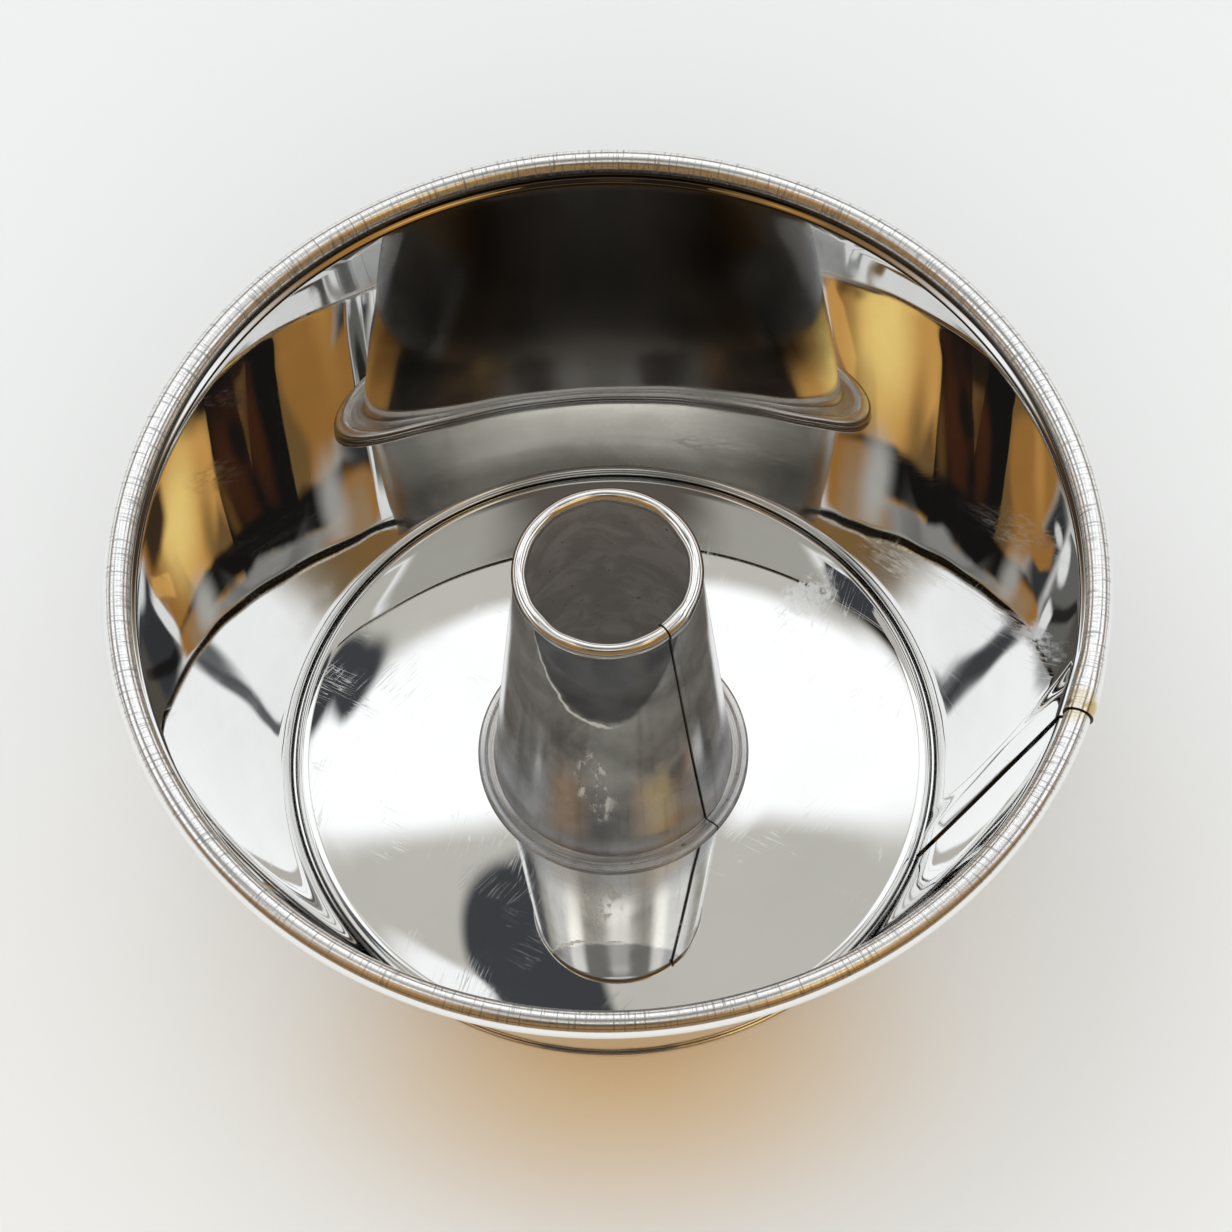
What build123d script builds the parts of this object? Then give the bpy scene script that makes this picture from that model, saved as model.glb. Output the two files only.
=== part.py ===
from build123d import *
from math import asin, atan2, cos, degrees, hypot, radians, sin
import os

os.makedirs("parts", exist_ok=True)

# An angel food cake pan in tinplate. Lengths are in millimetres and angles in degrees.
# The origin is on the table, at the centre of the base, with +Z up and the front at -Y.
# Every sheet is drawn as a sheet metal worker would make it: a middle line of flats and bends,
# given thickness, then turned about the pan's axis.

# Side wall: one conical band with a rolled rim, a neck under it and a folded foot
rim_diameter = 203.2
rim_height = 83.6
rim_bead_diameter = 5.44
wall_thickness = 0.4
rim_wrap_angle = 315
neck_meets_bead_angle = 205
neck_slope_angle = 36
neck_flat_length = 0.9
neck_bend_radius = 0.8
rim_crease_radius = 0.8
base_diameter = 141.4
foot_bend_radius = 0.35
ledge_width = 6.0

# Rim wire, loose inside the rolled rim
rim_wire_clearance = 0.1

# Floor disc, which rests on the wall's inward ledge
floor_thickness = 0.4
floor_height = 2.6
floor_edge_clearance = 0.35
floor_shoulder_radius = 1.9

# Centre tube: one tapered sheet with a curled mouth and a folded foot
mouth_diameter = 39.0
mouth_height = 83.2
mouth_bead_diameter = 3.2
tube_thickness = 0.35
mouth_wrap_angle = 325
mouth_meets_wall_angle = -35
mouth_neck_radius = 0.75
tube_foot_diameter = 51.5
tube_foot_radius = 0.4
ring_width = 3.6
ring_bend_radius = 0.45
ring_crest_width = 0.6
ring_slope_angle = 35
ring_valley_radius = 0.35
ring_valley_clearance = 0.08
clinch_bend_radius = 0.3
clinch_clearance = 0.02
clinch_hole_clearance = 0.1
clinch_flange_width = 3.4

# Lapped and spot-welded seams
wall_seam_angle = -22.5
wall_lap_width = 5.8
wall_joggle_width = 10.0
tube_seam_angle = -47
tube_lap_width = 6.0
tube_joggle_width = 6.0
lap_clearance = 0.06
notch_height = 0.35
notch_clearance = 0.1
weld_diameter = 3.0
wall_weld_shares = (0.06, 0.35, 0.65, 0.94)
tube_weld_shares = (0.08, 0.5, 0.92)
joggle_angle_shares = (0, 0.33, 0.67, 1)
joggle_rise_shares = (1, 0.74, 0.26, 0)


def polar(length, angle):
    return Vector(length * cos(radians(angle)), length * sin(radians(angle)))


def radial_plane(angle):
    """The upright plane through the pan's axis: local x points outward and local y up."""
    outward = (cos(radians(angle)), sin(radians(angle)), 0)
    sideways = (sin(radians(angle)), -cos(radians(angle)), 0)
    return Plane(origin=(0, 0, 0), x_dir=outward, z_dir=sideways)


def flat(length):
    return ("flat", length, 0)


def bend(radius, turn):
    """A bend of the middle line: turn is positive to the left and negative to the right."""
    return ("bend", radius, turn)


def rolled(radius, turn, count=3):
    """A bead, as several bends of equal turn."""
    return [bend(radius, turn / count)] * count


def tangent_run(first_centre, first_bend, last_centre, last_bend):
    """Heading and length of the flat between two right-hand bends."""
    line = last_centre - first_centre
    distance = hypot(line.X, line.Y)
    difference = last_bend - first_bend
    heading = degrees(atan2(line.Y, line.X) + asin(difference / distance))
    return heading, distance * cos(asin(difference / distance))


def sheet_side(start, heading, moves, offset):
    """Draws one side of a bent sheet, offset to the left of its middle line, and returns its two ends."""
    point = start
    first = start + polar(offset, heading + 90)
    for kind, size, turn in moves:
        if kind == "flat":
            here = point + polar(offset, heading + 90)
            Line(here, here + polar(size, heading))
            point = point + polar(size, heading)
        else:
            hand = 1 if turn > 0 else -1
            centre = point + polar(size * hand, heading + 90)
            CenterArc(centre, size - offset * hand, heading - 90 * hand, turn)
            heading = heading + turn
            point = centre - polar(size * hand, heading + 90)
    return first, point + polar(offset, heading + 90)


def sheet_section(start, heading, moves, near, far):
    """The cross-section of a bent sheet between two offsets from its middle line."""
    with BuildLine() as outline:
        near_start, near_end = sheet_side(start, heading, moves, near)
        far_start, far_end = sheet_side(start, heading, moves, far)
        Line(near_start, far_start)
        Line(near_end, far_end)
    make_face(outline.line)


def lapped_sheet(foot, upper, thickness, hand, seam, lap, joggle):
    """Turns a sheet about the pan's axis, with a lapped seam in its upper part.

    The layer that shows starts with a cut edge at the seam angle, lies over the other end of the
    sheet for the lap, and steps down to it over the joggle. Hand is 1 where the side that shows is
    to the left of the middle line, and -1 where it is to the right. The foot has no lap.
    """
    half = thickness / 2
    foot_start, foot_heading, foot_moves = foot
    upper_start, upper_heading, upper_moves = upper
    lap_start = upper_start + polar(notch_clearance, upper_heading)
    lap_moves = [flat(upper_moves[0][1] - notch_clearance)] + upper_moves[1:]
    rise = (thickness + lap_clearance) * hand

    with BuildSketch(radial_plane(seam + lap + joggle)) as round_band:
        sheet_section(foot_start, foot_heading, foot_moves + upper_moves, -half, half)
    revolve(round_band.sketch, axis=Axis.Z, revolution_arc=360 - joggle)

    with BuildSketch(radial_plane(seam + lap)) as plain_foot:
        sheet_section(foot_start, foot_heading, foot_moves, -half, half)
    revolve(plain_foot.sketch, axis=Axis.Z, revolution_arc=joggle)

    joggle_sections = []
    for angle_share, rise_share in zip(joggle_angle_shares, joggle_rise_shares):
        lift = rise * rise_share
        with BuildSketch(radial_plane(seam + lap + joggle * angle_share)) as step:
            sheet_section(lap_start, upper_heading, lap_moves, lift - half, lift + half)
        joggle_sections.append(step.sketch)
    loft(joggle_sections)

    with BuildSketch(radial_plane(seam)) as overlap:
        sheet_section(lap_start, upper_heading, lap_moves, rise - half, rise + half)
    revolve(overlap.sketch, axis=Axis.Z, revolution_arc=lap)


def spot_welds(start, heading, length, shares, thickness, hand, angle):
    """Nuggets that join the two layers of a lap at shares of its straight run."""
    section = radial_plane(angle)
    normal = section.from_local_coords(polar(hand, heading + 90)) - section.origin
    half_rise = (thickness + lap_clearance) / 2
    for share in shares:
        middle = start + polar(length * share, heading) + polar(half_rise * hand, heading + 90)
        spot = section.from_local_coords(middle)
        with BuildSketch(Plane(origin=spot, x_dir=section.z_dir, z_dir=normal)) as nugget:
            Circle(weld_diameter / 2)
        extrude(nugget.sketch, amount=half_rise, both=True)


# Side wall: places worked out from the sizes
wall_half = wall_thickness / 2
bead_radius = rim_bead_diameter / 2
bead_centre = Vector(rim_diameter / 2 - bead_radius, rim_height)
bead_bend = bead_radius - wall_half

hem_centre_radius = base_diameter / 2 - foot_bend_radius - wall_half
foot_centre = Vector(hem_centre_radius, wall_half + 3 * foot_bend_radius)
wall_foot_inside = hem_centre_radius - foot_bend_radius - wall_half
floor_radius = wall_foot_inside - floor_edge_clearance
ledge_start = Vector(floor_radius - ledge_width, wall_half)

crease_centre = bead_centre + polar(bead_bend + rim_crease_radius, neck_meets_bead_angle)
neck_end = crease_centre - polar(rim_crease_radius, neck_slope_angle + 90)
neck_start = neck_end - polar(neck_flat_length, neck_slope_angle)
neck_centre = neck_start + polar(neck_bend_radius, neck_slope_angle - 90)

wall_heading, wall_run = tangent_run(foot_centre, foot_bend_radius, neck_centre, neck_bend_radius)
wall_start = foot_centre + polar(foot_bend_radius, wall_heading + 90)
notch_place = (floor_height + notch_height - wall_start.Y) / sin(radians(wall_heading))
notch_point = wall_start + polar(notch_place, wall_heading)

wall_foot_moves = [
    flat(hem_centre_radius - ledge_start.X),
    bend(foot_bend_radius, 180),
    bend(foot_bend_radius, wall_heading - 180),
    flat(notch_place),
]
wall_upper_moves = [
    flat(wall_run - notch_place),
    bend(neck_bend_radius, neck_slope_angle - wall_heading),
    flat(neck_flat_length),
    bend(rim_crease_radius, neck_meets_bead_angle - 90 - neck_slope_angle),
] + rolled(bead_bend, -rim_wrap_angle)

wall_lap_angle = degrees(wall_lap_width / bead_centre.X)
wall_joggle_angle = degrees(wall_joggle_width / bead_centre.X)

with BuildPart() as side_wall:
    lapped_sheet(
        (ledge_start, 0, wall_foot_moves),
        (notch_point, wall_heading, wall_upper_moves),
        wall_thickness,
        1,
        wall_seam_angle,
        wall_lap_angle,
        wall_joggle_angle,
    )
    spot_welds(
        notch_point,
        wall_heading,
        wall_run - notch_place,
        wall_weld_shares,
        wall_thickness,
        1,
        wall_seam_angle + wall_lap_angle / 2,
    )

# Rim wire
wire_radius = bead_radius - wall_thickness - rim_wire_clearance

with BuildPart() as rim_wire:
    with BuildSketch(Plane.XZ):
        with Locations(bead_centre):
            Circle(wire_radius)
    revolve(axis=Axis.Z)

# Centre tube: places worked out from the sizes
tube_half = tube_thickness / 2
mouth_radius = mouth_bead_diameter / 2
mouth_centre = Vector(mouth_diameter / 2 - mouth_radius, mouth_height)
mouth_bend = mouth_radius - tube_half
mouth_neck_centre = mouth_centre + polar(mouth_bend + mouth_neck_radius, mouth_meets_wall_angle)

web_radius = tube_foot_diameter / 2 - tube_half
flange_level = floor_height - floor_thickness - clinch_clearance - tube_half
seat_level = floor_height + clinch_clearance + tube_half
flange_start = Vector(web_radius + clinch_bend_radius + clinch_flange_width, flange_level)
floor_hole_radius = web_radius + clinch_bend_radius + clinch_hole_clearance

ring_centre_radius = tube_foot_diameter / 2 + ring_width - tube_half - ring_bend_radius
crest_level = seat_level + 2 * ring_bend_radius
valley_level = seat_level + tube_thickness + ring_valley_clearance
bends_drop = (ring_bend_radius + ring_valley_radius) * (1 - cos(radians(ring_slope_angle)))
bends_reach = (ring_bend_radius + ring_valley_radius) * sin(radians(ring_slope_angle))
slope_run = (crest_level - valley_level - bends_drop) / sin(radians(ring_slope_angle))
valley_end_radius = (
    ring_centre_radius - ring_crest_width - bends_reach - slope_run * cos(radians(ring_slope_angle))
)
tube_foot_centre = Vector(web_radius + tube_foot_radius, valley_level + tube_foot_radius)

tube_heading, tube_run = tangent_run(
    tube_foot_centre, tube_foot_radius, mouth_neck_centre, mouth_neck_radius
)
tube_start = tube_foot_centre + polar(tube_foot_radius, tube_heading + 90)
tube_lap_point = tube_start + polar(notch_height, tube_heading)

tube_foot_moves = [
    flat(clinch_flange_width),
    bend(clinch_bend_radius, -90),
    flat(seat_level - flange_level - 2 * clinch_bend_radius),
    bend(clinch_bend_radius, -90),
    flat(ring_centre_radius - web_radius - clinch_bend_radius),
    bend(ring_bend_radius, 180),
    flat(ring_crest_width),
    bend(ring_bend_radius, ring_slope_angle),
    flat(slope_run),
    bend(ring_valley_radius, -ring_slope_angle),
    flat(valley_end_radius - tube_foot_centre.X),
    bend(tube_foot_radius, tube_heading - 180),
    flat(notch_height),
]
tube_upper_moves = [
    flat(tube_run - notch_height),
    bend(mouth_neck_radius, mouth_meets_wall_angle + 90 - tube_heading),
] + rolled(mouth_bend, mouth_wrap_angle)

tube_lap_angle = degrees(tube_lap_width / tube_start.X)
tube_joggle_angle = degrees(tube_joggle_width / tube_start.X)

with BuildPart() as centre_tube:
    lapped_sheet(
        (flange_start, 180, tube_foot_moves),
        (tube_lap_point, tube_heading, tube_upper_moves),
        tube_thickness,
        -1,
        tube_seam_angle,
        tube_lap_angle,
        tube_joggle_angle,
    )
    spot_welds(
        tube_lap_point,
        tube_heading,
        tube_run - notch_height,
        tube_weld_shares,
        tube_thickness,
        -1,
        tube_seam_angle + tube_lap_angle / 2,
    )

# Floor disc, with its rounded edge turned down to the ledge and a hole for the tube's foot
floor_half = floor_thickness / 2
shoulder_bend = floor_shoulder_radius - floor_half
floor_skirt_start = Vector(floor_radius - floor_half, wall_thickness)

with BuildPart() as floor_disc:
    with BuildSketch(Plane.XZ):
        sheet_section(
            floor_skirt_start,
            90,
            [
                flat(floor_height - floor_shoulder_radius - wall_thickness),
                bend(shoulder_bend, 90),
                flat(floor_radius - floor_shoulder_radius - floor_hole_radius),
            ],
            -floor_half,
            floor_half,
        )
    revolve(axis=Axis.Z)

side_wall.part.label = "side_wall"
rim_wire.part.label = "rim_wire"
floor_disc.part.label = "floor_disc"
centre_tube.part.label = "centre_tube"

export_step(side_wall.part, "parts/side_wall.step")
export_step(rim_wire.part, "parts/rim_wire.step")
export_step(floor_disc.part, "parts/floor_disc.step")
export_step(centre_tube.part, "parts/centre_tube.step")

print("wall heading", round(wall_heading, 2), "tube heading", round(tube_heading, 2))
print("floor radius", round(floor_radius, 2), "hole radius", round(floor_hole_radius, 2))
print("mouth opening radius", round(mouth_centre.X - mouth_radius, 2))
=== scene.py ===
import math

import bpy
import numpy as np
from mathutils import Matrix, Vector


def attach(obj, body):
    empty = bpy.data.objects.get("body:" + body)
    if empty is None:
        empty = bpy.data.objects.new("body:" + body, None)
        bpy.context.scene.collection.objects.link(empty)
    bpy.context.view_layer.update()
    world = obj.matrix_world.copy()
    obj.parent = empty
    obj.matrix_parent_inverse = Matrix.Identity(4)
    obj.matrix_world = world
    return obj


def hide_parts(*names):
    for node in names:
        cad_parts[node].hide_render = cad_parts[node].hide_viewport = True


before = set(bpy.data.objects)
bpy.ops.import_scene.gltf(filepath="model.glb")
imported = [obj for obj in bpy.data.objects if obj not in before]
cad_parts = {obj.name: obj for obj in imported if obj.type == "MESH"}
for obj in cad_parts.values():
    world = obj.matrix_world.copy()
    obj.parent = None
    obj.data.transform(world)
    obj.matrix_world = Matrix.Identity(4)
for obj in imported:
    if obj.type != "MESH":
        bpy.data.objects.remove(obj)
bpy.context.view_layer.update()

MM = 0.001

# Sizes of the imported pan: lengths in millimetres, angles in degrees
RIM_RADIUS = 101.6
RIM_HEIGHT = 83.6
RIM_BEAD = 2.72
RIM_WRAP = 315
BEAD_CENTRE = RIM_RADIUS - RIM_BEAD
NECK_MEETS_BEAD = 205
NECK_SLOPE = 36
NECK_FLAT = 0.9
NECK_BEND = 0.8
WALL_SHEET = 0.4
BASE_RADIUS = 70.7
FOOT_BEND = 0.35
LEDGE = 6.0
WALL_LAP = 5.8
WALL_JOGGLE = 10.0
FLOOR_TOP = 2.6
FLOOR_SHEET = 0.4
FLOOR_SHOULDER = 1.9
FLOOR_RADIUS = 69.25
HOLE_RADIUS = 25.98
MOUTH_RADIUS = 19.5
MOUTH_HEIGHT = 83.2
MOUTH_BEAD = 1.6
MOUTH_WRAP = 325
MOUTH_MEETS_WALL = -35
MOUTH_NECK = 0.75
TUBE_SHEET = 0.35
TUBE_FOOT = 25.75
TUBE_FOOT_BEND = 0.4
TUBE_LAP = 6.0
TUBE_JOGGLE = 6.0
RING_WIDTH = 3.6
RING_BEND = 0.45
RING_CREST = 0.6
RING_SLOPE = 35
VALLEY_BEND = 0.35
VALLEY_GAP = 0.08
CLINCH_BEND = 0.3
CLINCH_GAP = 0.02
CLINCH_FLANGE = 3.4
LAP_RISE_GAP = 0.06
NOTCH_HEIGHT = 0.35

# The seams as the photograph shows them: angle at the foot, and lean up to the top
WALL_SEAM = -23.4
WALL_SEAM_LEAN = 2.0
TUBE_SEAM = -41.6
TUBE_SEAM_LEAN = -10.2

# Studio table: its reach and how far it lies under the pan's own underside, in metres
TABLE_REACH = 6.0
TABLE_DROP = 0.0002

# Fineness of the meshes: steps of each curl, and the angle in degrees from which an edge is sharp
RIM_STEPS = 40
MOUTH_STEPS = 30
SHARP_ANGLE = 50

# Camera: distance in metres, angles in radians, focal length and places in pixels of the photograph
CAMERA_DISTANCE = 9.0 * RIM_RADIUS * MM
CAMERA_ELEVATION = math.radians(61.2)
CAMERA_ROLL = math.radians(-1.89)
FOCAL = 4537.0
FRAME = 1232
RIM_CENTRE = (607.45, 571.6)

# The card over the pan, which only mirrors see, with its height in metres. A patch on it is tint,
# shape, its centre, its half sizes, its turn in degrees, the softness of its edge and its share. Its
# lengths are shares of the card's height, x to the right and y to the back. Tints are linear light.
CARD_HEIGHT = 1.17
CARD_REACH = 4.5
PALETTE = {
    "white": (1.27, 1.29, 1.32),
    "silver": (0.72, 0.71, 0.69),
    "pale": (0.47, 0.46, 0.42),
    "ivory": (0.60, 0.585, 0.54),
    "grey": (0.20, 0.20, 0.19),
    "slate": (0.055, 0.058, 0.066),
    "dark": (0.014, 0.013, 0.012),
    "brown": (0.085, 0.030, 0.013),
    "umber": (0.07, 0.042, 0.024),
    "tan": (0.50, 0.33, 0.19),
    "sand": (0.36, 0.30, 0.22),
    "wood": (0.26, 0.15, 0.055),
    "orange": (0.48, 0.23, 0.055),
    "amber": (0.52, 0.25, 0.065),
    "honey": (0.98, 0.53, 0.15),
    "lamp": (2.1, 2.08, 2.0),
    "shade": (0.13, 0.115, 0.10),
    "cloud": (0.42, 0.41, 0.40),
    "gold": (1.45, 1.05, 0.36),
}
PATCHES = [
    ("sand", "oval", 0.0, 0.0, 3.40, 3.40, 0, 0.08, 1.0),
    ("umber", "oval", 0.0, 0.0, 2.60, 2.60, 0, 0.10, 1.0),
    ("sand", "oval", 0.0, 0.0, 1.62, 1.62, 0, 0.08, 1.0),
    ("umber", "oval", 0.0, 1.60, 0.95, 0.30, 0, 0.12, 1.0),
    ("white", "oval", 0.0, 0.0, 1.46, 1.46, 0, 0.06, 1.0),
    ("wood", "box", 0.0, -2.60, 5.00, 2.35, 0, 0.10, 1.0),
    ("orange", "oval", 0.60, -0.45, 0.22, 0.36, 0, 0.30, 1.0),
    ("slate", "box", 0.60, 0.03, 0.15, 0.17, 0, 0.12, 1.0),
    ("grey", "box", -0.60, 0.02, 0.16, 0.16, 0, 0.12, 1.0),
    ("shade", "box", 0.54, 0.36, 0.13, 0.25, 0, 0.15, 1.0),
    ("shade", "box", -0.50, 0.36, 0.17, 0.25, 0, 0.15, 1.0),
    ("cloud", "oval", -0.30, 0.20, 0.07, 0.25, 10, 0.30, 1.0),
    ("wood", "oval", -0.26, 0.93, 0.26, 0.07, -6, 0.25, 1.0),
    ("shade", "oval", 0.42, 0.93, 0.16, 0.06, 10, 0.30, 1.0),
    ("dark", "box", -0.56, 0.01, 0.16, 0.018, -60, 0.50, 0.9),
    ("dark", "box", 0.50, 0.02, 0.16, 0.014, 75, 0.50, 0.9),
    ("slate", "box", -0.54, -0.235, 0.14, 0.07, 0, 0.35, 1.0),
    ("white", "oval", -0.61, -0.115, 0.050, 0.045, 0, 0.25, 1.0),
    ("white", "box", -0.465, -0.095, 0.050, 0.028, 0, 0.20, 1.0),
    ("white", "oval", -0.595, -0.215, 0.016, 0.045, 15, 0.40, 0.8),
    ("white", "box", 0.52, -0.145, 0.080, 0.022, 15, 0.30, 1.0),
    ("white", "oval", 0.67, -0.05, 0.035, 0.09, 0, 0.50, 0.9),
    ("amber", "box", -0.46, -0.46, 0.18, 0.135, -3, 0.16, 1.0),
    ("amber", "box", -0.47, -0.30, 0.13, 0.030, -52, 0.20, 1.0),
    ("honey", "box", 0.36, -0.475, 0.22, 0.140, 14, 0.16, 1.0),
    ("amber", "box", 0.44, -0.26, 0.06, 0.09, -20, 0.15, 1.0),
    ("honey", "box", 0.54, -0.21, 0.075, 0.022, 45, 0.20, 1.0),
    ("gold", "oval", 0.44, -0.44, 0.15, 0.080, 62, 0.80, 1.0),
    ("wood", "oval", 0.24, -0.44, 0.045, 0.080, 12, 0.90, 0.8),
    ("honey", "oval", -0.50, -0.47, 0.040, 0.120, -6, 0.90, 0.5),
    ("umber", "box", 0.62, -0.33, 0.07, 0.12, -20, 0.35, 1.0),
    ("wood", "box", -0.27, -0.45, 0.040, 0.060, 30, 0.45, 1.0),
    ("wood", "box", 0.18, -0.46, 0.040, 0.065, -30, 0.45, 1.0),
    ("dark", "box", -0.185, -0.60, 0.100, 0.200, -24, 0.04, 1.0),
    ("dark", "box", 0.075, -0.61, 0.100, 0.200, 20, 0.04, 1.0),
    ("dark", "box", -0.05, -0.74, 0.36, 0.085, 0, 0.15, 0.95),
    ("brown", "oval", -0.105, -0.57, 0.040, 0.085, 15, 0.60, 0.8),
    ("brown", "oval", 0.020, -0.60, 0.130, 0.065, 0, 0.50, 0.5),
    ("orange", "oval", 0.115, -0.52, 0.060, 0.022, -50, 0.70, 0.30),
    ("brown", "oval", 0.060, -0.55, 0.120, 0.040, -38, 0.60, 0.8),
    ("dark", "oval", 0.010, -0.60, 0.055, 0.030, -25, 0.60, 0.9),
    ("dark", "ring", 0.0, 0.0, 0.470, 0.470, 0, 0.050, 1.0),
    ("cloud", "ring", 0.0, 0.0, 0.420, 0.420, 0, 0.050, 1.0),
    ("pale", "oval", 0.0, 0.0, 0.400, 0.400, 0, 0.04, 1.0),
    ("shade", "oval", 0.0, 0.05, 0.17, 0.17, 0, 0.20, 1.0),
    ("pale", "oval", 0.0, -0.11, 0.12, 0.05, 0, 0.40, 1.0),
    ("amber", "oval", -0.40, -0.22, 0.10, 0.030, -60, 0.30, 1.0),
    ("amber", "oval", 0.40, -0.22, 0.10, 0.030, 60, 0.30, 1.0),
    ("tan", "oval", -0.31, -0.27, 0.13, 0.045, -32, 0.30, 1.0),
    ("tan", "oval", 0.31, -0.27, 0.13, 0.045, 32, 0.30, 1.0),
    ("grey", "box", 0.0, -0.395, 0.18, 0.018, 0, 0.50, 0.8),
    ("lamp", "oval", 0.0, -0.285, 0.13, 0.030, 0, 0.35, 1.0),
    ("cloud", "oval", 0.0, -0.225, 0.10, 0.022, 0, 0.35, 1.0),
    ("slate", "oval", -0.27, 0.27, 0.14, 0.045, 45, 0.40, 1.0),
    ("lamp", "oval", -0.265, -0.09, 0.040, 0.070, 25, 0.45, 1.0),
    ("lamp", "oval", 0.255, -0.11, 0.040, 0.065, -25, 0.45, 1.0),
    ("white", "oval", 0.31, 0.02, 0.055, 0.130, 0, 0.35, 0.8),
    ("white", "oval", -0.33, 0.00, 0.040, 0.090, 0, 0.35, 0.6),
    ("silver", "oval", 0.33, -0.32, 0.060, 0.040, 45, 0.80, 0.9),
    ("silver", "oval", -0.33, -0.33, 0.050, 0.040, -45, 0.80, 0.8),
    ("white", "box", 0.0, 0.52, 0.36, 0.180, 0, 0.10, 1.0),
    ("ivory", "box", 0.0, 0.49, 0.146, 0.138, 0, 0.06, 1.0),
    ("white", "oval", 0.0, 0.490, 0.137, 0.088, 0, 0.05, 1.0),
    ("ivory", "box", 0.0, 0.410, 0.136, 0.058, 0, 0.16, 1.0),
    ("white", "oval", -0.070, 0.375, 0.060, 0.012, -30, 0.60, 0.8),
    ("dark", "oval", 0.116, 0.562, 0.036, 0.014, -50, 0.20, 1.0),
    ("slate", "oval", -0.120, 0.537, 0.026, 0.008, 55, 0.30, 1.0),
    ("slate", "oval", -0.033, 0.385, 0.030, 0.066, 12, 0.10, 1.0),
    ("slate", "box", -0.95, 0.62, 0.17, 0.020, 45, 0.50, 0.9),
    ("slate", "oval", -0.90, 0.67, 0.09, 0.040, 45, 0.40, 0.9),
    ("umber", "box", -0.27, 0.72, 0.008, 0.070, 10, 0.50, 0.8),
    ("slate", "box", 0.88, 0.66, 0.110, 0.018, -52, 0.50, 0.9),
    ("slate", "oval", 0.90, 0.72, 0.100, 0.050, -52, 0.40, 0.9),
    ("slate", "box", -0.60, 0.80, 0.16, 0.014, 5, 0.50, 0.7),
    ("umber", "box", 0.85, 0.79, 0.40, 0.018, -12, 0.50, 0.8),
]

# Helpers for shapes


def polar(length, angle):
    """A step of a given length in a direction given in degrees."""
    return np.array([math.cos(math.radians(angle)), math.sin(math.radians(angle))]) * length


def flat(length, steps=1):
    """A straight move, for walk."""
    return ("flat", length, 0, steps)


def bend(radius, turn, steps):
    """A curved move, for walk. Its turn is in degrees, and above 0 to the left."""
    return ("bend", radius, turn, steps)


def walk(start, heading, moves):
    """Points along a bent sheet's middle line, from its start, its heading in degrees and its moves."""
    points = [np.array(start, float)]
    for kind, size, turn, steps in moves:
        here = points[-1]
        if kind == "flat":
            for i in range(1, steps + 1):
                points.append(here + polar(size * i / steps, heading))
        else:
            hand = 1 if turn > 0 else -1
            centre = here + polar(size * hand, heading + 90)
            for i in range(1, steps + 1):
                points.append(centre - polar(size * hand, heading + 90 + turn * i / steps))
            heading += turn
    return np.array(points)


def tangent_run(first, first_bend, last, last_bend):
    """Heading and length of the straight run between two right-hand bends, given by centre and radius."""
    line = np.array(last) - np.array(first)
    distance = math.hypot(*line)
    lean = math.asin((last_bend - first_bend) / distance)
    return math.degrees(math.atan2(line[1], line[0]) + lean), distance * math.cos(lean)


def smooth(x, low, high):
    """Rises smoothly from 0 at low to 1 at high."""
    t = np.clip((x - low) / (high - low), 0, 1)
    return t * t * (3 - 2 * t)


def waves(around, along, seed, count, around_range, along_range):
    """A sum of gentle waves over (angle around, length along), of unit size, that closes on itself."""
    rng = np.random.default_rng(seed)
    total = np.zeros(np.broadcast(around, along).shape)
    for _ in range(count):
        turns = rng.integers(around_range[0], around_range[1] + 1)
        pitch = rng.uniform(*along_range)
        phase, other = rng.uniform(0, 2 * math.pi, 2)
        total = total + np.cos(turns * around + phase) * np.cos(2 * math.pi * along / pitch + other)
    return total / math.sqrt(count)


def grid_faces(rows, columns, keep=None, first=0):
    """Quads of a grid whose points run row by row. keep masks them, in shape (rows - 1, columns - 1)."""
    i, j = np.meshgrid(np.arange(rows - 1), np.arange(columns - 1), indexing="ij")
    corner = first + i * columns + j
    quads = np.stack([corner, corner + 1, corner + columns + 1, corner + columns], -1)
    if keep is not None:
        quads = quads[keep]
    return quads.reshape(-1, 4)


def mesh_object(name, points, quads, uv, material, masks):
    """A mesh from points in millimetres, with its sheet coordinates and its named point masks."""
    mesh = bpy.data.meshes.new(name)
    mesh.from_pydata((points * MM).tolist(), [], quads.tolist())
    layer = mesh.uv_layers.new(name="sheet")
    loops = np.empty(len(mesh.loops), np.int32)
    mesh.loops.foreach_get("vertex_index", loops)
    layer.data.foreach_set("uv", uv[loops].astype(np.float32).ravel())
    for title, values in masks.items():
        mask = mesh.attributes.new(title, "FLOAT", "POINT")
        mask.data.foreach_set("value", values.astype(np.float32).ravel())
    made = bpy.data.objects.new(name, mesh)
    bpy.context.scene.collection.objects.link(made)
    made.data.materials.append(material)
    return made


def thicken(made, thickness):
    """Gives a sheet its thickness and shades it smooth, with its cut edges sharp."""
    solid = made.modifiers.new("thickness", "SOLIDIFY")
    solid.thickness = thickness * MM
    solid.offset = 0
    solid.use_even_offset = True
    bpy.context.view_layer.update()
    evaluated = made.evaluated_get(bpy.context.evaluated_depsgraph_get())
    finished = bpy.data.meshes.new_from_object(evaluated)
    made.modifiers.clear()
    made.data = finished
    finished.shade_smooth()
    finished.set_sharp_from_angle(angle=math.radians(SHARP_ANGLE))


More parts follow.
